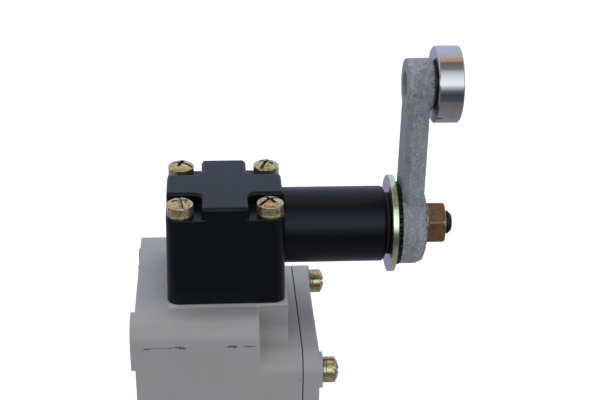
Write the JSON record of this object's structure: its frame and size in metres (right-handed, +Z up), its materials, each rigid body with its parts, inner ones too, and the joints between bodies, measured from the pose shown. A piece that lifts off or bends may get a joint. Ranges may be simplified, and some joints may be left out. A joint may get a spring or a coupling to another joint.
{
  "type": "limit switch",
  "caption": "Rotary-lever limit switch: die-cast body with bolted cover and head, long shaft sleeve, and a cast lever with a steel roller.",
  "frame": {"origin": "centre of the four fixing holes, on the mounting plane at the back of the feet", "axes": "+X forwards along the lever shaft, away from the mounting plane; +Z up along the lever at rest; +Y to the left seen from behind"},
  "size_m": [0.0785, 0.0496, 0.1314],
  "materials": {
    "grey_paint": "satin grey paint on die-cast zinc",
    "black_paint": "satin black paint on die-cast zinc",
    "rubber": "black nitrile rubber",
    "yellow_zinc": "yellow chromated zinc-plated steel",
    "olive_zinc": "dark olive chromated zinc-plated steel",
    "bronze": "sintered bronze",
    "brass": "machined brass",
    "silver": "silver contact alloy",
    "shaft_steel": "ground steel",
    "black_steel": "black oxide steel",
    "cast_lever": "raw zinc-alloy casting, matt",
    "roller_steel": "polished hardened steel",
    "spring_steel": "bright spring wire",
    "white_plastic": "glass-filled moulding",
    "black_plastic": "phenolic moulding"
  },
  "bodies": {
    "case": {"body_housing": "grey_paint", "body_cover": "grey_paint", "cover_gasket": "rubber", "cover_screws": "yellow_zinc", "cover_spring_washers": "yellow_zinc", "head_screws": "yellow_zinc", "head_spring_washers": "yellow_zinc", "head_housing": "black_paint", "head_gasket": "rubber", "bearing_sleeve": "black_paint", "inner_bush": "bronze", "outer_bush": "bronze", "shaft_seal": "rubber", "thrust_washer": "bronze", "return_spring": "spring_steel", "plunger_guide": "black_plastic", "contact_block": "black_plastic", "contact_block_cap": "white_plastic", "fixed_contacts": "brass", "fixed_contact_tips": "silver", "terminal_clamps": "yellow_zinc", "terminal_screws": "yellow_zinc", "contact_block_screws": "yellow_zinc", "earth_screw": "brass", "earth_washer": "brass"},
    "lever_shaft": {"operating_shaft": "black_steel", "crank_pin": "shaft_steel", "dust_washer": "yellow_zinc", "toothed_washer": "black_steel", "lock_washer": "olive_zinc", "lever_nut": "olive_zinc", "lever_arm": "cast_lever", "roller_pin": "shaft_steel", "roller_washer": "shaft_steel"},
    "roller_body": {"roller": "roller_steel", "roller_bush": "bronze"},
    "plunger_body": {"plunger": "white_plastic", "moving_contact": "brass", "moving_contact_tips": "silver", "spring_collars": "shaft_steel", "contact_springs": "spring_steel"}
  },
  "joints": [
    {"name": "lever_turn", "type": "hinge", "parent": "case", "child": "lever_shaft", "pos_m": [0.045, 0, 0.05015], "axis": [1, 0, 0], "range_deg": [-45, 45], "stiffness_Nm_per_rad": 0.3, "deforming": ["return_spring"]},
    {"name": "roller_spin", "type": "hinge", "parent": "lever_shaft", "child": "roller_body", "pos_m": [0.075, 0, 0.0862], "axis": [1, 0, 0], "continuous": true},
    {"name": "plunger_slide", "type": "slide", "parent": "case", "child": "plunger_body", "axis": [0, 0, 1], "range_m": [-0.00225, 0.00225]}
  ],
  "couplings": [
    {"joint": "plunger_slide", "follows": "lever_turn", "m_per_rad": 0.0028}
  ]
}
